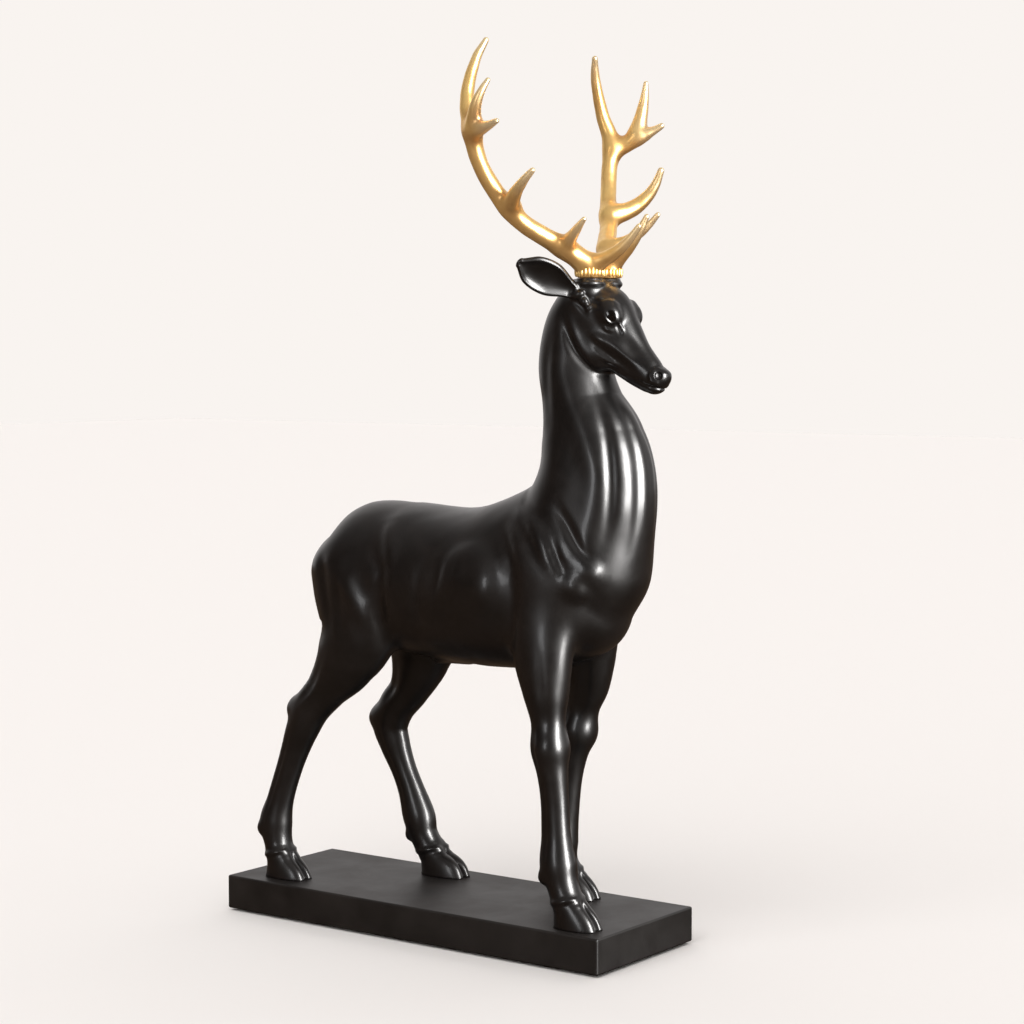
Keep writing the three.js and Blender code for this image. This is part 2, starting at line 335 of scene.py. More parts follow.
def quadsOf(halved, found):
    # Joins the four cells round each crossed edge into a quad, with a point for each cell.
    def leafAt(level, cell):
        # the unhalved cell that covers this one, as a number, or -1 where that is finer
        keys = [keyOf(cell >> (level - k)) for k in range(level + 1)]
        code = (level << 60) + keys[level]
        for k in range(level - 1, -1, -1):
            code = np.where(within(halved[k], keys[k]), code, (k << 60) + keys[k])
        return np.where(within(halved[level], keys[level]), -1, code)

    quads, places = [], []
    for level in range(claySizes["levels"]):
        for axis in range(3):
            chosen = [f for f in found if f[0] == level and f[1] == axis]
            base, spot, flip = (np.concatenate([f[k] for f in chosen]) for k in (2, 3, 4))
            first = np.unique(keyOf(base), return_index=True)[1]
            base, spot, flip = base[first], spot[first], flip[first]
            b, c = np.eye(3, dtype=int)[(axis + 1) % 3], np.eye(3, dtype=int)[(axis + 2) % 3]
            around = np.stack([leafAt(level, base - m) for m in (b + c, c, 0 * b, b)], 1)
            around[flip] = around[flip][:, ::-1]
            keep = (around >= 0).all(1)
            quads.append(around[keep])
            places.append(spot[keep])
    quads = np.unique(np.concatenate(quads), return_inverse=True)[1].reshape(-1, 4)
    places = np.repeat(np.concatenate(places), 4, axis=0)
    shares = np.bincount(quads.ravel())[:, None]
    return quads, np.stack([np.bincount(quads.ravel(), places[:, k]) for k in range(3)], 1) / shares


def pressedOn(clay, points, triangles, spacing):
    # Presses each point onto the clay, and between the rounds evens out the spacing.
    sides = np.concatenate([triangles[:, [0, 1]], triangles[:, [1, 2]], triangles[:, [2, 0]]])
    links = np.unique(np.sort(sides, 1), axis=0)
    ends = np.concatenate([links, links[:, ::-1]])
    shares = np.maximum(np.bincount(ends[:, 0], minlength=len(points)), 1)[:, None]
    for turn in range(claySizes["rounds"]):
        normals = normalsOf(points, triangles)
        points = points - normals * np.clip(clay.distance(points), -spacing, spacing)[:, None]
        if turn < claySizes["rounds"] - 1:
            mean = np.stack([np.bincount(ends[:, 0], points[ends[:, 1], k]) for k in range(3)], 1) / shares
            points += claySizes["evening"] * (mean - points)
    return points


def clayObject(name, forms, low, high, spacing, finenessAt, marks):
    clay, low = Clay(forms), np.array(low, float)
    quads, points = quadsOf(*crossingsOf(clay, low, high, spacing, finenessAt))
    points = pressedOn(clay, points, trianglesOf(points, quads), spacing)
    triangles = trianglesOf(points, quads)
    normals = normalsOf(points, triangles)
    mesh = bpy.data.meshes.new(name)
    mesh.from_pydata((points / 1000).tolist(), [], triangles.tolist())
    mesh.shade_smooth()
    # recess is how hollow a place is, which the finishes read
    layers = {"recess": 1 - clay.distance(points + normals * 4) / 4, **marks(points, normals)}
    for label, values in layers.items():
        layer = mesh.attributes.new(label, "FLOAT", "POINT")
        layer.data.foreach_set("value", np.clip(values, 0, 1).astype(np.float32))
    made = bpy.data.objects.new(name, mesh)
    bpy.context.scene.collection.objects.link(made)
    print(name, len(triangles), "triangles")
    return made


def onSide(way, stations):
    return [[x, way * y, z, *rest] for x, y, z, *rest in stations]


def ridge(way, spots, width, height, ends=0.2):
    # A stroke through spots that fades softly towards its two ends.
    count = len(spots)
    fade = np.clip([2.6 * min(i, count - 1 - i) / (count - 1) for i in range(count)], 0, 1)
    fade = ends + (1 - ends) * fade * fade * (3 - 2 * fade)
    return Stroke([[x, way * y, z, width, height * f] for (x, y, z), f in zip(spots, fade)])


def muscle(way, spots, width, height, ends=0.2):
    return ridge(way, spots, width, height * stagSizes["muscle"], ends)


# The stag
stagSizes = {
    "hoofGround": 26.35,      # top of the plinth, where the hooves stand
    "antlerSeat": 461.0,      # flat tops of the pedicles
    "pedicleX": 124.8,
    "pedicleSpread": 10.4,
    "pedicleRadius": 9.0,
    "muscle": 1.0,            # how strongly the muscles and folds are marked
    "waviness": 0.16,
    "clayGrain": 3.6,         # cell size on the trunk; it halves on the legs, on the face and round the eyes
}

torso = [
    [-90, 0, 260, 24, 27], [-74, 0, 260, 44, 42], [-38, 0, 251, 53.5, 47], [14, 0, 247, 55, 50],
    [62, 0, 250, 58, 50], [98, 0, 259, 58.5, 45], [121, 0, 271, 44, 36]]
neck = [                      # front, half width and back from the middle line
    [104, 0, 274, 56, 42, 51], [112, 0, 302, 54.8, 38, 42], [115.5, 0, 330, 51.6, 34, 32.8],
    [113.5, 0, 354, 43.6, 30, 28.8], [108, 0, 379, 31.6, 26, 23.6], [105, 0, 403, 26.6, 23, 25.2],
    [108, 0, 427, 24.2, 20, 24.2], [116, 0, 443, 21, 18, 21]]
head = [
    [116, 0, 443, 21, 18], [127, 0, 433, 24.6, 19.2], [140, 0, 419, 20.3, 15.8], [153, 0, 406.5, 15.4, 12],
    [165, 0, 397, 12, 10], [171, 0, 393, 9.6, 9]]
tail = [[-82, 0, 271, 8, 8], [-100, 0, 265.5, 7, 9], [-109.5, 0, 251, 5.8, 9], [-110, 0, 235, 4, 6.5]]

foreGirths = {
    "shoulder": (30, 17), "elbow": (24, 16), "forearm": (17, 13.5), "aboveKnee": (12.6, 10.6),
    "knee": (13.2, 12), "belowKnee": (11, 9.6), "cannon": (10.2, 8.3), "lowCannon": (10.8, 8.8),
    "fetlock": (13.4, 11.2), "pastern": (11.2, 10.4), "foot": (11.6, 11)}
hindGirths = {
    "hip": (34, 24), "thigh": (33, 19.5), "stifle": (25.2, 15.5), "gaskin": (16.4, 12.3),
    "hock": (14.6, 11.5), "belowHock": (13, 10.2), "topCannon": (11, 8.8), "cannon": (10.2, 8.3),
    "lowCannon": (10.5, 8.7), "fetlock": (12.9, 10.8), "pastern": (10.7, 10), "foot": (11, 10.8)}
# toe is x and half the length of the hoof on the ground, dewclaw its x and height
rightFore = {
    "places": {
        "shoulder": (96, -26, 246), "elbow": (102, -33, 212), "forearm": (107, -36, 182),
        "aboveKnee": (109.5, -37, 163), "knee": (111.5, -38, 146), "belowKnee": (114.5, -38.5, 127),
        "cannon": (116.5, -39, 108), "lowCannon": (118.5, -40, 86), "fetlock": (120.5, -40.5, 67),
        "pastern": (125, -41, 53), "foot": (129.5, -41.5, 42)},
    "girths": foreGirths, "toe": (136.8, 18), "dewclaw": (114, 60)}
leftFore = {
    "places": {
        "shoulder": (92, 24, 246), "elbow": (95, 30, 212), "forearm": (94, 33, 182),
        "aboveKnee": (89, 34, 163), "knee": (85, 34, 146), "belowKnee": (80, 34, 127),
        "cannon": (76.5, 34, 108), "lowCannon": (73.5, 34, 86), "fetlock": (70, 34, 66),
        "pastern": (71.5, 34, 52), "foot": (75.5, 34, 42)},
    "girths": foreGirths, "toe": (84, 18), "dewclaw": (64, 60)}
rightHind = {
    "places": {
        "hip": (-74, -22, 258), "thigh": (-61, -30, 218), "stifle": (-72.5, -33, 190),
        "gaskin": (-89.5, -33.5, 168.5), "hock": (-103, -34, 154), "belowHock": (-112.5, -34.5, 137),
        "topCannon": (-120, -35, 119), "cannon": (-127, -35.5, 101), "lowCannon": (-133, -36, 83),
        "fetlock": (-137, -36.5, 66), "pastern": (-134.5, -37, 51), "foot": (-131.5, -37.5, 42)},
    "girths": hindGirths, "toe": (-125, 19.5), "dewclaw": (-143.5, 62), "hockPoint": (-116, 153)}
leftHind = {
    "places": {
        "hip": (-68, 20, 256), "thigh": (-48, 26, 218), "stifle": (-53, 28, 187),
        "gaskin": (-63, 29, 164), "hock": (-76, 30, 149), "belowHock": (-82.5, 30.5, 135),
        "topCannon": (-79, 31, 121), "cannon": (-72, 32, 104), "lowCannon": (-65, 33, 87),
        "fetlock": (-58.5, 34, 68), "pastern": (-54, 34.5, 54), "foot": (-47, 36, 42)},
    "girths": {**hindGirths, "belowHock": (14.6, 10.2), "topCannon": (12.6, 9.2)},
    "toe": (-37, 21), "dewclaw": (-63, 55), "hockPoint": (-91, 141)}


def besideLeg(leg, names, back, side):
    # Spots on the skin of a leg: back is how far behind its middle, as a share of its depth.
    spots, order = [], list(leg["places"])
    for name in names:
        i = order.index(name)
        above, below = leg["places"][order[max(i - 1, 0)]], leg["places"][order[min(i + 1, len(order) - 1)]]
        along = unit((below[0] - above[0], below[2] - above[2]))
        (x, y, z), (deep, wide) = leg["places"][name], leg["girths"][name]
        off = -back * deep
        spots.append((x - along[1] * off, y + side * wide * math.sqrt(1 - back * back), z + along[0] * off))
    return spots


def hoofForms(leg):
    x, y, z = leg["places"]["foot"]
    toeX, toeLength = leg["toe"]
    clawX, clawZ = leg["dewclaw"]
    forms = []
    for way in (-1, 1):
        forms.append(Limb([
            [x - 0.5, y + way * 3.0, 45, 9.4, 7],
            [x + 0.4 * (toeX - x), y + way * 3.5, 37, 12.2, 7.4],
            [toeX - 0.5, y + way * 4.0, 26, toeLength - 1, 7.7],
            [toeX + 1.5, y + way * 4.2, 12, toeLength + 1, 8]], soft=1.2))
        forms.append(Ball([clawX, y + way * 5.2, clawZ], [5, 3.8, 6], tilt=25, soft=4))
    # the cleft between the two claws
    forms.append(Stroke([
        [x + 11, y, 44, 1.5, -0.3], [x + 14.5, y, 38, 1.5, -1.4],
        [toeX + toeLength * 0.72, y, 31.5, 1.6, -1.8],
        [toeX + toeLength * 0.93, y, 25, 1.6, -1.8]]))
    # the roll above the hoof, with the crease under it
    for reach, drop, width, height in ((0, 0, 2.1, 1.1), (1.1, 3.0, 1.2, -1.3)):
        ring = []
        for k in range(17):
            a = 2 * math.pi * k / 16
            ring.append([x + 0.8 + (12.0 + reach) * math.cos(a), y + (11.4 + reach) * math.sin(a),
                         45.2 + 3.6 * math.cos(a) - drop, width, height])
        forms.append(Stroke(ring))
    return forms


# Grooves down the legs: the joints passed, how far behind the leg's middle, width and height
foreSinews = [
    (("belowKnee", "cannon", "lowCannon", "fetlock"), 0.3, 1.9, -0.9),
    (("elbow", "forearm", "aboveKnee"), -0.3, 3, -0.9),
    (("aboveKnee", "knee", "belowKnee"), 0.45, 2.6, -1.0)]
hindSinews = [
    (("stifle", "gaskin", "hock"), 0.42, 3.6, -1.7),
    (("belowHock", "topCannon", "cannon", "lowCannon", "fetlock"), 0.3, 1.9, -0.9),
    (("gaskin", "hock", "belowHock"), -0.35, 3, -0.9)]


def legForms(leg, soft):
    places, girths = leg["places"], leg["girths"]
    forms = [Limb([[*places[name], *girths[name]] for name in places], soft=soft)]
    fore = "knee" in places
    if fore:
        x, y, z = places["knee"]
        forms.append(Ball([x + 1.5, y, z - 1], [12, 12.3, 13], soft=6))
    else:
        x, z = leg["hockPoint"]
        y = places["hock"][1]
        forms.append(Ball([x, y, z], [11, 7, 8.5], tilt=-35, soft=7))
    forms += hoofForms(leg)
    for side in (-1, 1):
        for names, back, width, height in foreSinews if fore else hindSinews:
            forms.append(muscle(1, besideLeg(leg, names, back, side), width, height))
    return forms


def eyeForms(way):
    # A round eye between two lids that follow it, with the tear groove at its front corner.
    centre, size = np.array([143.4, way * 14.2, 434.6]), 5.0
    out = unit((0.70, way * 0.68, 0.24))
    forward = np.array([0.73, 0, -0.68])
    forward = unit(forward - out * (forward @ out))
    up = np.cross(out, forward) * -way
    lids = []
    for k in range(25):
        a = 2 * math.pi * k / 24
        open = math.radians(47 + 13 * math.cos(a) ** 2)
        spot = centre + (size + 0.15) * (out * math.cos(open) + math.sin(open) * (
            forward * math.cos(a) + up * math.sin(a)))
        thick = 0.95 if math.sin(a) > 0 else 0.75
        lids.append([*spot, thick, thick])
    return [Limb(lids, across=tuple(out), soft=1.6, finer=2), Ball(centre, [size] * 3, soft=0.35)]


def earForms(way):
    # A leaf with a hollow front: the hollow is cut from the leaf along the side that faces forwards.
    leaf = [[121, 15, 449.5, 4.6, 4.8], [116, 23, 454, 4.3, 6.8], [109, 34, 460, 4.6, 12.2],
            [102, 45, 466, 3.9, 10.9], [97.4, 52.6, 470.6, 2.2, 3.8]]
    across = (0.23, way * 0.34, 0.91)
    face = unit((0.66, way * 0.63, -0.40))
    bowl = []
    for (x, y, z, deep, wide), depth, rim in zip(leaf, (2.2, 3.4, 4.8, 4.2, 1.0), (2.0, 2.2, 1.7, 1.7, 2.8)):
        spot = np.array([x, way * y, z]) + face * (deep * 0.95)
        bowl.append([*spot, depth, max(wide - rim, 1.2)])
    return [Limb(onSide(way, leaf), across=across, soft=2.2),
            Limb(bowl[1:], across=across, soft=1.4, cut=True)]


def headForms(way):
    x, spread = stagSizes["pedicleX"], stagSizes["pedicleSpread"]
    r, seat = stagSizes["pedicleRadius"], stagSizes["antlerSeat"]
    return [
        Limb([[x - 5, way * (spread - 1), seat - 16, r + 1.5, r + 1.5], [x - 1, way * spread, seat - 7, r, r],
              [x, way * spread, seat + 4, r, r]], across=(0, 1, 0), soft=5),
        Ball([x, way * spread, seat - 3.6], [10.3, 10.3, 4.2], soft=1.8),
        Ball([126, way * 9, 414], [17, 9.5, 15], tilt=40, soft=8),
        Ball([141.5, way * 12.6, 437.5], [10.5, 6.6, 8], tilt=40, soft=5),
        *earForms(way),
    ]


def faceMarks(way):
    cheekEdge = [(108, 19, 437), (111, 20, 429), (114.5, 20, 420), (119.5, 18.5, 411), (124.5, 15.5, 404.5),
                 (129.5, 11, 399.5), (133.5, 5, 396)]
    jawEdge = [(113, 20, 438), (116, 20.5, 430.5), (119.5, 20, 422), (124, 18.5, 414), (129, 15.5, 407.5),
               (134.5, 11.5, 402.5)]
    return [
        muscle(way, cheekEdge, 3.2, -1.9),
        muscle(way, jawEdge, 3.6, 0.8),
        muscle(way, [(133, 17, 425), (140, 16.5, 420), (147, 14.6, 415), (155, 12.6, 409),
                     (162, 10.8, 403.5)], 3.6, 1.5),
        muscle(way, [(150, 11, 422), (157, 9.5, 415), (165, 8, 407)], 4.2, -0.9),
        muscle(way, [(146, 15, 409), (154, 11.5, 402.5), (161, 9.6, 397)], 3.4, -1.0),
        muscle(way, [(133, 17.5, 417), (139, 16, 412), (146, 13.6, 407.5)], 2.2, -1.0),
        muscle(way, [(137, 15.5, 409), (143, 13.4, 405), (149.5, 11.6, 401.5)], 2.0, 1.2),
        muscle(way, [(131, 18.5, 424), (136.5, 18, 420.5), (142, 16.8, 417.5)], 2.4, 1.0),
        muscle(way, [(137, 11, 402), (145, 9.5, 398), (153, 8, 395)], 2.0, 0.8),
        muscle(way, [(129, 17, 448), (133.5, 17.2, 444), (138.5, 18, 440.5)], 1.7, -1.3),
        muscle(way, [(134, 16, 446.5), (139, 16, 445.5), (144.5, 12.5, 444.5), (148, 8.5, 442.5)],
               2.2, 1.2),
        # tear groove, and the fold beside it
        ridge(way, [(148.2, 14.6, 431), (149.6, 13.2, 427.5), (150.6, 12, 423.5)], 1.2, -1.2),
        ridge(way, [(149.8, 12.6, 431.5), (151.2, 11.6, 428), (152, 10.6, 424)], 1.1, 0.8),
        ridge(way, [(139.5, 18.2, 429), (143.5, 17, 426.2), (147.5, 14.6, 426)], 1.8, 1.0),
        # folds at the root of the ear
        Ball([121.5, way * 20, 449.8], [5.2, 3.4, 3.2], tilt=-20, soft=1.6),
        Ball([125.6, way * 18.6, 445.4], [3.6, 2.8, 3.4], tilt=30, soft=1.2),
        Ball([128.6, way * 17.6, 440.8], [2.6, 2.2, 3.0], tilt=30, soft=1.2),
        ridge(way, [(116.5, 22, 445.5), (121, 20.5, 444), (125, 19.4, 440.6), (127.5, 18.6, 437)],
              1.7, -1.5),
        ridge(way, [(126, 18.5, 450.6), (129.2, 17.4, 446.4), (131.4, 17.2, 442)], 1.4, -1.2),
        # nostril
        ridge(way, [(175.5, 4.2, 400.4), (173.2, 6.6, 399.4), (171.9, 8.4, 396), (173.2, 8.8, 392.6),
                    (176.2, 7.4, 391)], 1.4, 0.8, 0.6),
        Ball([177, way * 6.6, 396.2], [1.9, 2.6, 2.9], turn=way * 40, tilt=-15, soft=0.8, cut=True),
        # mouth
        ridge(way, [(176.5, 0, 387.6), (175.3, 4.4, 388), (172, 7.2, 388.6), (167.5, 8.6, 390),
                    (163, 9.2, 392.4)], 1.15, -1.4, 0.7),
    ]


def bodyMarks(way):
    return [
        # shoulder: its point, the upper arm and the blade
        Ball([99, way * 33, 230], [17, 13.5, 27], tilt=6, soft=9),
        muscle(way, [(113, 42.6, 289), (116.5, 42.6, 283), (120, 42.9, 276), (124, 42.4, 268),
                     (128, 40.8, 259), (131.5, 38.5, 248)], 3.2, -2.0),
        Ball([126, way * 32.6, 256], [14, 10, 12.5], tilt=30, soft=4),
        Ball([134.5, way * 29, 266], [13, 9.5, 12], tilt=30, soft=5),
        muscle(way, [(86, 28, 308), (98, 36, 303), (108, 40, 296), (116, 41.5, 288)], 4.5, -1.6),
        muscle(way, [(95, 36, 305), (103, 41, 293), (109, 44, 280), (112, 44.5, 266)], 7, 1.8),
        muscle(way, [(74, 34, 298), (88, 40, 294), (99, 44, 284), (107, 45.4, 273), (113, 45.4, 262)],
               4.5, -1.6),
        muscle(way, [(72, 38, 292), (80, 44, 281), (86, 47.6, 265), (87.3, 48, 245), (85.5, 46, 224),
                     (82, 38, 208)], 4.6, -3.2),
        muscle(way, [(68, 42.6, 281), (76, 47.8, 265), (77.6, 48.4, 244), (73, 44, 223)], 8, -1.6),
        muscle(way, [(124, 33, 238), (128, 30, 232)], 3.0, 0.8),
        # neck: long folds that run down to the breast and fade out
        muscle(way, [(106, 21, 426), (108, 21.6, 413), (110.8, 23.1, 398), (117.2, 24.1, 385),
                     (124.7, 25.4, 371.6), (133.2, 27.1, 355), (139.8, 28.4, 340), (142.8, 29.2, 325.5),
                     (142.5, 31, 307), (140.1, 33.3, 291), (137, 35.8, 279.7)], 9, 2.2, 0.4),
        muscle(way, [(122, 14, 400), (131.9, 15.9, 385), (139.4, 18.5, 371.7), (145.9, 20.9, 356.6),
                     (150, 23.4, 340), (151.8, 24.8, 323.6), (151.8, 25.9, 307), (149.8, 27.5, 290.4),
                     (145.8, 31, 277)], 4.0, -1.8, 0),
        muscle(way, [(127, 12.5, 396), (137.3, 14.3, 379.6), (144.4, 17.6, 366.4), (150.6, 19.6, 351.3),
                     (154.8, 20.9, 335.5), (156.7, 21.3, 320.3), (156.5, 22.1, 303.7), (153.8, 24, 285.7),
                     (150, 27, 270)], 7.5, 0.9, 0),
        muscle(way, [(135, 3.5, 392), (143.6, 5, 379.6), (152.6, 7, 366.4), (159.3, 9, 351.3),
                     (163.5, 10.2, 335.4), (164.9, 11, 320.2), (164.4, 11.5, 303.6), (162, 13, 286.9),
                     (158.5, 16, 270)], 3.6, -1.5, 0),
        muscle(way, [(114, 37, 312), (118, 37.4, 306), (125, 37.8, 297), (131, 37.5, 287),
                     (136, 36.4, 279), (142, 34.6, 272)], 3.4, -1.8),
        muscle(way, [(100, 21, 428), (97, 22, 405), (99, 24, 380), (105, 28, 352)], 5, -0.9),
        # ribs, flank and belly
        muscle(way, [(24, 40, 282), (14, 45, 272), (8, 49, 257), (5, 49, 240), (3, 44, 222)], 4.5, -1.1),
        muscle(way, [(47, 45, 274), (43, 49, 262), (40, 50, 250)], 3.4, 1.0),
        muscle(way, [(35, 45, 272), (30, 49, 258), (27, 50, 242)], 3.4, 0.6),
        muscle(way, [(64, 47, 268), (64, 50, 252), (61, 49, 236)], 10, 2.2),
        muscle(way, [(27, 46, 270), (22, 49.6, 255), (12, 50, 240), (-6, 38, 214)], 8, -2.0),
        # hip, thigh and ham
        muscle(way, [(-32, 31, 292), (-26, 38, 282), (-21, 43, 272), (-19, 46, 262)], 6.5, 2.4),
        muscle(way, [(-40, 42, 276), (-33, 46, 264), (-27, 47.5, 252)], 5, -1.6),
        muscle(way, [(-25.8, 45.7, 266), (-29, 47.5, 246), (-32, 44.6, 228), (-32.9, 39.6, 208)], 5, -2.8),
        muscle(way, [(-64, 47, 254), (-58.6, 48.2, 246.6), (-46.4, 47.4, 229.4), (-37, 43, 214)], 7, 2.4),
        muscle(way, [(-58, 47, 262), (-66, 47, 240), (-64, 48, 220), (-60, 47, 204)], 5, -1.0),
        muscle(way, [(-87, 44, 268), (-83.4, 45.5, 255), (-78.5, 46.9, 234), (-72.6, 48.5, 206)], 5, -1.8),
        muscle(way, [(-97, 28, 262), (-98, 30, 240), (-93, 34, 218)], 5, 1.0),
    ]


def trunkForms():
    forms = [
        Limb(torso, soft=14),
        # the ribs behind the elbows
        *(Ball([52, way * 40, 252], [30, 12, 27], tilt=12, soft=9) for way in (-1, 1)),
        Limb(neck, soft=18),
        Ball([63, 0, 291], [31, 24, 18.5], tilt=-27, soft=22),
        Ball([118, 0, 238], [28, 30, 32], soft=14),
        Ball([-54, 0, 259.5], [43, 34, 41], soft=12),
    ]
    for way in (-1, 1):
        forms.append(Ball([-74, way * 16, 245], [31, 25, 43], tilt=10, soft=14))
        forms.append(Ball([102, way * 27, 262], [30, 18, 44], tilt=-15, soft=14))
    return forms


stagForms = [
    *trunkForms(),
    Limb(head, soft=8),
    Ball([173.6, 0, 395], [8, 7.8, 6.2], tilt=10, soft=3),
    Ball([177.3, 0, 396.6], [4.2, 5.6, 3.2], tilt=10, soft=2.5),
    Ball([167.5, 0, 389.6], [8, 5.6, 5], tilt=12, soft=3),
    *legForms(rightFore, 12), *legForms(leftFore, 12), *legForms(rightHind, 14), *legForms(leftHind, 14),
    *headForms(-1), *headForms(1),
    *bodyMarks(-1), *bodyMarks(1),
    *faceMarks(-1), *faceMarks(1),
    *eyeForms(-1), *eyeForms(1),
    muscle(1, [(146, 0, 380), (157, 0, 364), (164.5, 0, 345), (168, 0, 326), (168, 0, 306), (164, 0, 288)],
          3.2, -0.5, 0),
    muscle(1, [(120, 0, 207), (132, 0, 216), (141, 0, 230)], 3.0, -1.8),
    ridge(1, [(-98, 0, 289), (-112, 0, 277), (-119, 0, 262)], 2.5, 0.6),
    Limb(tail, soft=6),
    Limb([[14, 0, 198, 7, 7], [-2, 0, 195.5, 5.5, 5.5], [-14, 0, 192, 3.2, 3.2]], soft=6),
    Uneven(stagSizes["waviness"], 34),
    Drum(0, 0, 400, -60, stagSizes["hoofGround"], soft=0.4),
    Drum(stagSizes["pedicleX"], 0, 21, stagSizes["antlerSeat"], 520, soft=0.4),
]


def stagFineness(p):
    x, z = p[:, 0], p[:, 2]
    eyes = np.min([np.linalg.norm(p - (145, way * 16, 434), axis=1) for way in (-1, 1)], axis=0) < 9
    nose = (x > 166) & (z > 380)
    face = (z > 440) | (z > 394) & (x > 108 + 0.4 * np.abs(z - 425)) | (x > 140) & (z > 380)
    fine = (z < 165) | (z > 372) | (x > 120) & (z > 272)
    return np.where(eyes | nose, 3, np.where(face | (z < 56), 2, np.where(fine, 1, 0)))


def stagMarks(points, normals):
    # gloss marks the eyes
    eyes = np.min([np.linalg.norm(points - (146.5, way * 17, 435.6), axis=1) for way in (-1, 1)], axis=0)
    return {"gloss": 1 - (eyes - 3) / 1.5}


stag = clayObject("stagBody", stagForms, [-164, -70, 18], [192, 70, 484], stagSizes["clayGrain"],
                  stagFineness, stagMarks)

# The antlers. A tine grows from root to tip; out and down bow it, radius is its size at the root.
antlerSizes = {
    "grain": 1.6,
    "web": 10.0,          # how softly the tines flow into the beam
    "waviness": 0.14,
    "ribs": 24,           # ribs round each burr
    "ribLength": 6.6,
    "ribWidth": 1.1,
    "ribRing": 9.5,
    "ribSeed": 7,
}
beam = [
    [124.8, 10.4, 457, 8.9], [124.6, 10.8, 466, 8.0], [120.5, 19, 474.8, 7.4], [110, 31, 484.5, 6.6],
    [98, 51, 497.5, 6], [89, 64, 513.5, 5.7], [81.5, 76, 536, 5.5], [78.8, 82, 560, 5.9],
    [73.6, 79, 580, 4.6], [73.6, 70.5, 603, 3.4], [77.5, 63.8, 617.2, 2.1]]
rightTines = [
    {"root": (125, 11, 470), "tip": (164.5, 11.5, 494.5), "radius": 6, "down": 5},
    {"root": (115, 26, 482), "tip": (138, 37, 499), "radius": 5.4, "out": 1.5, "down": 1},
    {"root": (95, 59, 508), "tip": (125, 77, 529), "radius": 6, "out": 5, "down": 1},
    {"root": (82, 84.3, 556), "tip": (111, 97, 560), "radius": 5.6, "out": 1, "down": 1},
    {"root": (86, 88, 560), "tip": (101, 93, 587), "radius": 5.2, "out": 4.5}]
leftTines = [
    {"root": (125, 11, 470), "tip": (155.4, 11.5, 502), "radius": 6, "down": 5},
    {"root": (114, 26, 482), "tip": (146, 40, 505), "radius": 5.2, "out": 3, "down": 3},
    {"root": (95, 60, 507), "tip": (124, 78, 538), "radius": 7, "out": 5, "down": 7},
    {"root": (82.5, 84.2, 556), "tip": (112, 97, 571), "radius": 6.4, "down": 1},
    {"root": (95, 91, 567), "tip": (102, 92, 601), "radius": 5.8, "out": 2}]


def tineStations(way, root, tip, radius, out=0.0, down=0.0):
    start, end = np.array(root, float) * (1, way, 1), np.array(tip, float) * (1, way, 1)
    chord = unit(end - start)
    bow = np.array([0, way * out, -down])
    bow = bow - chord * (bow @ chord)
    rows = []
    for t in np.linspace(0, 1, 6):
        r = radius * (1 - 0.68 * t ** 1.15)
        rows.append([*(start + (end - start) * t + bow * 4 * t * (1 - t)), r, r])
    return rows


def antlerForms(way, tines):
    x, spread, seat = stagSizes["pedicleX"], stagSizes["pedicleSpread"], stagSizes["antlerSeat"]
    forms = [Limb([[px, way * py, pz, r, r] for px, py, pz, r in beam], across=(1, 0, 0), soft=4)]
    forms += [Limb(tineStations(way, **tine), across=(1, 0, 0), soft=antlerSizes["web"]) for tine in tines]
    forms.append(Ball([x, way * spread, seat + 3.6], [9.3, 9.3, 4.6], soft=2))
    forms.append(Uneven(antlerSizes["waviness"], 13))
    forms.append(Drum(x, way * spread, 30, 440, seat + 0.3, soft=0.3))
    return forms


def antlerFineness(p):
    return np.ones(len(p), int)


antlers = {}
for label, way, tines in (("antlerRight", -1, rightTines), ("antlerLeft", 1, leftTines)):
    low, high = sorted((way * -2, way * 106))
    tips = [np.array(tine["tip"], float) * (1, way, 1) for tine in tines] + [np.array((78, way * 63.5, 618))]

    def tipMarks(points, normals):
        # faces that turn downwards get a larger value here, which the gold turns into painted shade
        return {"under": (0.3 - normals[:, 2]) / 1.1,
                # nearness to a tine's end, which the gold turns into a painted highlight
                "tip": 1 - np.min([np.linalg.norm(points - tip, axis=1) for tip in tips], axis=0) / 24}

    antlers[label] = clayObject(label, antlerForms(way, tines), [64, low, 455], [172, high, 628],
                                antlerSizes["grain"], antlerFineness, tipMarks)

# Node trees: inputs are given by name, and a socket given as a value is linked
def addNode(tree, kind, settings=None, **inputs):
    made = tree.nodes.new(kind)
    for name, value in (settings or {}).items():
        setattr(made, name, value)
    for name, value in inputs.items():
        socket = made.inputs[int(name[1:])] if name[0] == "i" and name[1:].isdigit() else made.inputs[name]
        if isinstance(value, bpy.types.NodeSocket):
            tree.links.new(value, socket)
        else:
            socket.default_value = value
    return made


def addSocket(tree, name, way, kind, value=None):
    socket = tree.interface.new_socket(name, in_out=way, socket_type=kind)
    if value is not None:
        socket.default_value = value
    return socket


def newMaterial(name):
    material = bpy.data.materials.new(name)
    material.use_nodes = True
    tree = material.node_tree
    return material, tree, tree.nodes["Principled BSDF"]


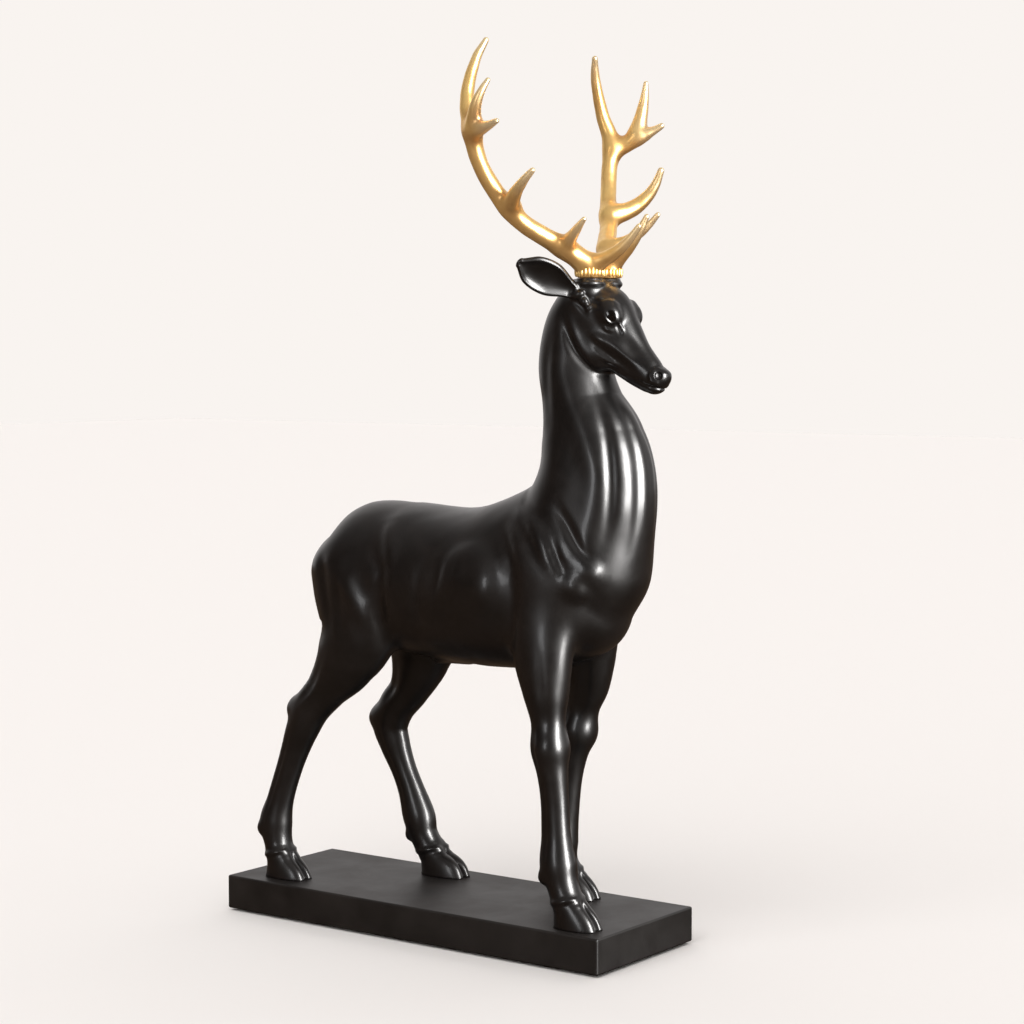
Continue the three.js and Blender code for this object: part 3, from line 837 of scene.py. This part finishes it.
# Surface of a cast, sanded and sprayed piece: mottle is the cloudy change in its sheen, height its texture
def castSurfaceGroup():
    group = bpy.data.node_groups.new("castSurface", "ShaderNodeTree")
    addSocket(group, "Vector", "INPUT", "NodeSocketVector")
    addSocket(group, "Cloud Size", "INPUT", "NodeSocketFloat", 30)
    addSocket(group, "Grain Size", "INPUT", "NodeSocketFloat", 900)
    addSocket(group, "Mottle", "OUTPUT", "NodeSocketFloat")
    addSocket(group, "Height", "OUTPUT", "NodeSocketFloat")
    given, end = group.nodes.new("NodeGroupInput").outputs, group.nodes.new("NodeGroupOutput")
    cloud = addNode(group, "ShaderNodeTexNoise", Vector=given["Vector"], Scale=given["Cloud Size"],
                    Detail=5.0, Roughness=0.6, Distortion=0.4)
    grain = addNode(group, "ShaderNodeTexNoise", Vector=given["Vector"], Scale=given["Grain Size"],
                    Detail=3.0, Roughness=0.55)
    spread = addNode(group, "ShaderNodeMapRange", Value=cloud.outputs["Fac"],
                     **{"From Min": 0.3, "From Max": 0.7})
    height = addNode(group, "ShaderNodeMath", {"operation": "MULTIPLY_ADD"}, i0=cloud.outputs["Fac"], i1=0.6,
                     i2=grain.outputs["Fac"])
    group.links.new(spread.outputs["Result"], end.inputs["Mottle"])
    group.links.new(height.outputs["Value"], end.inputs["Height"])
    return group


castSurface = castSurfaceGroup()


def addRelief(tree, shader, height, bump, distance):
    relief = addNode(tree, "ShaderNodeBump", Height=height, Strength=bump, Distance=distance)
    tree.links.new(relief.outputs["Normal"], shader.inputs["Normal"])


def placeSurface(tree, shader, cloud, grain, bump, distance):
    # Puts the cast surface on a material and its texture on the shader, and gives back its mottle.
    coords = tree.nodes.new("ShaderNodeTexCoord")
    surface = addNode(tree, "ShaderNodeGroup", {"node_tree": castSurface})
    tree.links.new(coords.outputs["Object"], surface.inputs["Vector"])
    surface.inputs["Cloud Size"].default_value = cloud
    surface.inputs["Grain Size"].default_value = grain
    addRelief(tree, shader, surface.outputs["Height"], bump, distance)
    return surface.outputs["Mottle"]


def readMark(tree, name):
    return addNode(tree, "ShaderNodeAttribute", {"attribute_name": name}).outputs["Fac"]


def blend(tree, amount, low, high):
    # Goes from the colour low to the colour high as amount goes from 0 to 1.
    mix = tree.nodes.new("ShaderNodeMix")
    mix.data_type = "RGBA"
    tree.links.new(amount, mix.inputs["Factor"])
    for name, value in (("A", low), ("B", high)):
        socket = next(s for s in mix.inputs if s.name == name and s.type == "RGBA")
        if isinstance(value, bpy.types.NodeSocket):
            tree.links.new(value, socket)
        else:
            socket.default_value = (*value, 1)
    return next(s for s in mix.outputs if s.type == "RGBA")


def between(tree, amount, low, high):
    return addNode(tree, "ShaderNodeMapRange", Value=amount,
                   **{"To Min": low, "To Max": high}).outputs["Result"]


def calculate(tree, operation, *values, clamp=False):
    node = addNode(tree, "ShaderNodeMath", {"operation": operation, "use_clamp": clamp},
                   **{f"i{k}": value for k, value in enumerate(values)})
    return node.outputs["Value"]


lacquerLook = {
    "black": (0.0036, 0.0026, 0.0023),
    "brown": (0.0072, 0.0047, 0.0037),      # where the coat lies thinner
    "satin": (0.30, 0.40),                  # roughness from polished to dull
    "hollow": 0.12,                         # how much duller the hollows are
    "eye": 0.10,                            # roughness of the eyes
}


def blackLacquer():
    material, tree, shader = newMaterial("blackLacquer")
    mottle = placeSurface(tree, shader, 38, 700, 0.05, 0.0004)
    shader.inputs["Specular IOR Level"].default_value = 0.5
    shader.inputs["Coat Weight"].default_value = 0.22
    shader.inputs["Coat Roughness"].default_value = 0.14
    coat = blend(tree, mottle, lacquerLook["black"], lacquerLook["brown"])
    tree.links.new(coat, shader.inputs["Base Color"])
    dull = between(tree, mottle, *lacquerLook["satin"])
    hollow = calculate(tree, "MULTIPLY_ADD", readMark(tree, "recess"), lacquerLook["hollow"], dull)
    wet = addNode(tree, "ShaderNodeMix", Factor=readMark(tree, "gloss"), A=hollow, B=lacquerLook["eye"])
    tree.links.new(wet.outputs["Result"], shader.inputs["Roughness"])
    return material


goldLook = {
    "gold": (1.0, 0.68, 0.25),
    # the copper colour, used as painted shade in the hollows and on the undersides, and as random clouds of
    # tone
    "copperAndShade": (0.48, 0.21, 0.065),
    "pale": (0.97, 0.80, 0.52),             # tips painted pale as a painted highlight
    "sheen": (0.30, 0.42),
    # recess and the undersides mark set the painted shade, the tips mark the painted highlight, cloud the
    # random tone
    "recess": 1.6, "under": 0.6, "cloud": 0.32, "tipHighlight": 0.75,   # how strongly each of these shows
}


def goldPaint():
    material, tree, shader = newMaterial("goldPaint")
    shader.inputs["Metallic"].default_value = 0.65
    mottle = placeSurface(tree, shader, 75, 900, 0.035, 0.0003)
    # copper is painted into the hollows and onto the undersides as painted shade, and lies in random clouds
    # as the paint's own tone; the tips are painted pale as a painted highlight
    # the hollows get copper as painted shade
    hollowShade = calculate(tree, "MULTIPLY", readMark(tree, "recess"), goldLook["recess"], clamp=True)
    colour = blend(tree, hollowShade, goldLook["gold"], goldLook["copperAndShade"])
    # copper on the faces that turn downwards is painted shade
    undersides = between(tree, readMark(tree, "under"), 0, goldLook["under"])
    colour = blend(tree, undersides, colour, goldLook["copperAndShade"])
    colour = blend(tree, between(tree, mottle, 0, goldLook["cloud"]), colour, goldLook["copperAndShade"])
    # the tips are painted paler as a painted highlight
    tips = calculate(tree, "MULTIPLY", readMark(tree, "tip"), goldLook["tipHighlight"], clamp=True)
    colour = blend(tree, tips, colour, goldLook["pale"])
    tree.links.new(colour, shader.inputs["Base Color"])
    tree.links.new(between(tree, mottle, *goldLook["sheen"]), shader.inputs["Roughness"])
    return material


plinthSizes = {
    "low": (-0.165, -0.059, 0.0018), "high": (0.165, 0.059, 0.0263),
    "edge": 0.0015, "steps": 4,
    "black": (0.0055, 0.0040, 0.0033), "worn": (0.0125, 0.0088, 0.0070), "satin": (0.42, 0.54)}


def plinthPaint():
    material, tree, shader = newMaterial("plinthPaint")
    mottle = placeSurface(tree, shader, 26, 1300, 0.10, 0.0003)
    colour = blend(tree, mottle, plinthSizes["black"], plinthSizes["worn"])
    tree.links.new(colour, shader.inputs["Base Color"])
    tree.links.new(between(tree, mottle, *plinthSizes["satin"]), shader.inputs["Roughness"])
    return material


def padFoam():
    material, tree, shader = newMaterial("padFoam")
    coords = tree.nodes.new("ShaderNodeTexCoord")
    cells = addNode(tree, "ShaderNodeTexVoronoi", Vector=coords.outputs["Object"], Scale=900.0)
    addRelief(tree, shader, cells.outputs["Distance"], 0.6, 0.0004)
    colour = blend(tree, cells.outputs["Distance"], (0.012, 0.012, 0.013), (0.035, 0.034, 0.036))
    tree.links.new(colour, shader.inputs["Base Color"])
    shader.inputs["Roughness"].default_value = 0.9
    return material


lacquer, gold, paint, foam = blackLacquer(), goldPaint(), plinthPaint(), padFoam()


# The ribs round each burr: rounded ribs stand on a ring, a little uneven
def ribTree():
    tree = bpy.data.node_groups.new("burrRibs", "GeometryNodeTree")
    for name, kind, value in (
            ("Ring Radius", "NodeSocketFloat", 0.0095), ("Ribs", "NodeSocketInt", 24),
            ("Rib Length", "NodeSocketFloat", 0.0066), ("Rib Width", "NodeSocketFloat", 0.0011),
            ("Centre", "NodeSocketVector", (0, 0, 0)), ("Seed", "NodeSocketInt", 1)):
        addSocket(tree, name, "INPUT", kind, value)
    addSocket(tree, "Geometry", "OUTPUT", "NodeSocketGeometry")
    given, end = tree.nodes.new("NodeGroupInput").outputs, tree.nodes.new("NodeGroupOutput")
    ring = addNode(tree, "GeometryNodeCurvePrimitiveCircle", Resolution=96, Radius=given["Ring Radius"])
    spots = addNode(tree, "GeometryNodeCurveToPoints", {"mode": "COUNT"}, Curve=ring.outputs["Curve"],
                    Count=given["Ribs"])
    rib = addNode(tree, "GeometryNodeMeshUVSphere", Segments=12, Rings=9, Radius=1.0)
    uneven = addNode(tree, "FunctionNodeRandomValue", {"data_type": "FLOAT_VECTOR"}, Seed=given["Seed"],
                     Min=(0.85, 0.85, 0.8), Max=(1.15, 1.15, 1.08))
    lean = addNode(tree, "FunctionNodeRandomValue", {"data_type": "FLOAT_VECTOR"}, Seed=given["Seed"],
                   Min=(-0.1, -0.1, -0.3), Max=(0.1, 0.1, 0.3))
    half = addNode(tree, "ShaderNodeMath", {"operation": "MULTIPLY"}, i0=given["Rib Length"], i1=0.5)
    size = addNode(tree, "ShaderNodeCombineXYZ", X=given["Rib Width"], Y=given["Rib Width"],
                   Z=half.outputs["Value"])
    scale = addNode(tree, "ShaderNodeVectorMath", {"operation": "MULTIPLY"}, i0=size.outputs["Vector"],
                    i1=uneven.outputs["Value"])
    ribs = addNode(tree, "GeometryNodeInstanceOnPoints", Points=spots.outputs["Points"],
                   Instance=rib.outputs["Mesh"], Scale=scale.outputs["Vector"],
                   Rotation=lean.outputs["Value"])
    placed = addNode(tree, "GeometryNodeTransform", Geometry=ribs.outputs["Instances"],
                     Translation=given["Centre"])
    real = addNode(tree, "GeometryNodeRealizeInstances", Geometry=placed.outputs["Geometry"])
    smooth = addNode(tree, "GeometryNodeSetShadeSmooth", Geometry=real.outputs["Geometry"])
    finish = addNode(tree, "GeometryNodeSetMaterial", Geometry=smooth.outputs["Geometry"], Material=gold)
    tree.links.new(finish.outputs["Geometry"], end.inputs["Geometry"])
    return tree


burrRibs = ribTree()


def madeByNodes(name, tree, **values):
    # Runs the tree on an empty piece and keeps the result as a plain mesh.
    piece = bpy.data.objects.new(name, bpy.data.meshes.new(name))
    bpy.context.scene.collection.objects.link(piece)
    modifier = piece.modifiers.new("build", "NODES")
    modifier.node_group = tree
    names = {item.name: item.identifier for item in tree.interface.items_tree if item.in_out == "INPUT"}
    for label, value in values.items():
        modifier[names[label]] = value
    bpy.context.view_layer.update()
    made = bpy.data.meshes.new_from_object(piece.evaluated_get(bpy.context.evaluated_depsgraph_get()))
    piece.modifiers.clear()
    piece.data = made
    print(name, len(made.polygons), "faces")
    return piece


ribPieces = {}
for label, way in (("burrRibsRight", -1), ("burrRibsLeft", 1)):
    ribPieces[label] = madeByNodes(label, burrRibs, **{
        "Ring Radius": antlerSizes["ribRing"] / 1000, "Ribs": antlerSizes["ribs"],
        "Rib Length": antlerSizes["ribLength"] / 1000, "Rib Width": antlerSizes["ribWidth"] / 1000,
        "Seed": antlerSizes["ribSeed"] + way,
        "Centre": (stagSizes["pedicleX"] / 1000, way * stagSizes["pedicleSpread"] / 1000,
                   (stagSizes["antlerSeat"] + 4.0) / 1000)})


def plinthBlock():
    low, high = Vector(plinthSizes["low"]), Vector(plinthSizes["high"])
    places = [(x, y, z) for z in (low.z, high.z) for y in (low.y, high.y) for x in (low.x, high.x)]
    faces = [(0, 2, 3, 1), (4, 5, 7, 6), (0, 1, 5, 4), (1, 3, 7, 5), (3, 2, 6, 7), (2, 0, 4, 6)]
    mesh = bpy.data.meshes.new("plinthBlock")
    mesh.from_pydata(places, [], faces)
    block = bpy.data.objects.new("plinthBlock", mesh)
    bpy.context.scene.collection.objects.link(block)
    edge = block.modifiers.new("edge", "BEVEL")
    edge.width, edge.segments = plinthSizes["edge"], plinthSizes["steps"]
    edge.limit_method = "NONE"
    edge.harden_normals = True
    mesh.shade_smooth()
    return block


plinth = plinthBlock()

# Each piece gets its finish, rides on the figurine and stands for its solid
for piece, finish, solid, slot in (
        (stag, lacquer, "stag", "stag_lacquer"),
        (antlers["antlerRight"], gold, "antler_right", "gilt"),
        (antlers["antlerLeft"], gold, "antler_left", "gilt"),
        (ribPieces["burrRibsRight"], gold, "antler_right", "gilt"),
        (ribPieces["burrRibsLeft"], gold, "antler_left", "gilt"),
        (plinth, paint, "plinth", "plinth_paint")):
    piece.data.materials.clear()
    piece.data.materials.append(finish)
    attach(piece, "root")
    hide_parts(solid)
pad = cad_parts["base_pad"]
for k in range(len(pad.material_slots)):
    pad.material_slots[k].link = "OBJECT"
    pad.material_slots[k].material = foam
print("finishes on")

# The room
room = {
    "camera": (1.0401, -1.3450, 0.4141), "azimuth": 36.3, "elevation": 3.9, "lens": 84.375,
    "behind": (0.947, 0.905, 0.871),        # what the camera sees past the figurine
    "floor": (0.867, 0.836, 0.812), "mirroredFloor": (0.10, 0.066, 0.044),
    # soft light from above and from the camera's side, mirrored by nothing; the angles are in degrees
    "daylight": {"power": 1.2, "spread": 110, "tip": 0, "turn": 0},
    "fill": {"power": 1.9, "spread": 70, "tip": 56, "turn": 10},
    "dark": (0.052, 0.040, 0.032), "pale": (0.80, 0.77, 0.76),   # what the finishes reflect
    # these two only shine in the finishes
    "window": {"place": (2.15, -0.35, 0.85), "size": (0.95, 1.7), "power": 190,
               "colour": (1.0, 0.985, 0.97)},
    "sideWindow": {"place": (0.05, -2.2, 0.62), "size": (0.42, 0.75), "power": 7,
                   "colour": (0.97, 0.98, 1.0)},
}


def photoCamera():
    data = bpy.data.cameras.new("camera")
    data.sensor_width, data.lens = 36, room["lens"]
    camera = bpy.data.objects.new("camera", data)
    bpy.context.scene.collection.objects.link(camera)
    camera.location = room["camera"]
    camera.rotation_euler = (math.radians(90 - room["elevation"]), 0, math.radians(room["azimuth"]))
    return camera


def paleFloor(reach=9):
    mesh = bpy.data.meshes.new("floor")
    places = [(-reach, -reach, 0), (reach, -reach, 0), (reach, reach, 0), (-reach, reach, 0)]
    mesh.from_pydata(places, [], [(0, 1, 2, 3)])
    floor = bpy.data.objects.new("floor", mesh)
    bpy.context.scene.collection.objects.link(floor)
    material, tree, shader = newMaterial("floorPaint")
    mirrored = tree.nodes.new("ShaderNodeLightPath").outputs["Is Glossy Ray"]
    tree.links.new(blend(tree, mirrored, room["floor"], room["mirroredFloor"]), shader.inputs["Base Color"])
    shader.inputs["Roughness"].default_value = 0.8
    shader.inputs["Specular IOR Level"].default_value = 0
    mesh.materials.append(material)
    return floor


def roomLight():
    # The camera sees a pale wall. The finishes mirror a room that is dark on the camera's side.
    world = bpy.data.worlds.new("room")
    bpy.context.scene.world = world
    world.use_nodes = True
    tree = world.node_tree
    tree.nodes.clear()
    way = tree.nodes.new("ShaderNodeTexCoord").outputs["Generated"]

    def lit(direction, low, high):
        side = addNode(tree, "ShaderNodeVectorMath", {"operation": "DOT_PRODUCT"}, i0=way, i1=direction)
        return addNode(tree, "ShaderNodeMapRange", {"interpolation_type": "SMOOTHSTEP"},
                       Value=side.outputs["Value"], **{"From Min": low, "From Max": high}).outputs["Result"]

    back, right = lit((-0.45, 0.89, 0), 0.0, 0.75), lit((0.98, 0.2, 0), 0.45, 1.0)
    above = calculate(tree, "MULTIPLY", lit((0, 0, 1), 0.35, 0.95), 0.3)
    amount = calculate(tree, "MAXIMUM", calculate(tree, "MAXIMUM", back, right), above)
    seen = addNode(tree, "ShaderNodeBackground", Color=(*room["behind"], 1), Strength=1.0)
    around = blend(tree, amount, room["dark"], room["pale"])
    mirrored = addNode(tree, "ShaderNodeBackground", Color=around, Strength=1.0)
    mix = tree.nodes.new("ShaderNodeMixShader")
    tree.links.new(tree.nodes.new("ShaderNodeLightPath").outputs["Is Camera Ray"], mix.inputs["Fac"])
    tree.links.new(mirrored.outputs["Background"], mix.inputs[1])
    tree.links.new(seen.outputs["Background"], mix.inputs[2])
    tree.links.new(mix.outputs["Shader"], tree.nodes.new("ShaderNodeOutputWorld").inputs["Surface"])


def windowLight(name, place, size, power, colour, aim=(0.02, 0, 0.3)):
    data = bpy.data.lights.new(name, "AREA")
    data.shape = "RECTANGLE"
    data.size, data.size_y = size
    data.energy, data.color = power, colour
    lamp = bpy.data.objects.new(name, data)
    bpy.context.scene.collection.objects.link(lamp)
    lamp.location = place
    lamp.rotation_euler = (Vector(aim) - Vector(place)).to_track_quat("-Z", "Y").to_euler()
    lamp.visible_diffuse = False


def wideLight(name, power, spread, tip, turn):
    data = bpy.data.lights.new(name, "SUN")
    data.energy, data.angle = power, math.radians(spread)
    lamp = bpy.data.objects.new(name, data)
    bpy.context.scene.collection.objects.link(lamp)
    lamp.rotation_euler = (math.radians(tip), 0, math.radians(turn))
    lamp.visible_glossy = False


bpy.context.scene.camera = photoCamera()
bpy.context.scene.view_settings.view_transform = "Standard"
paleFloor()
roomLight()
for name in ("window", "sideWindow"):
    windowLight(name, **room[name])
for name in ("daylight", "fill"):
    wideLight(name, **room[name])
print("room lit")
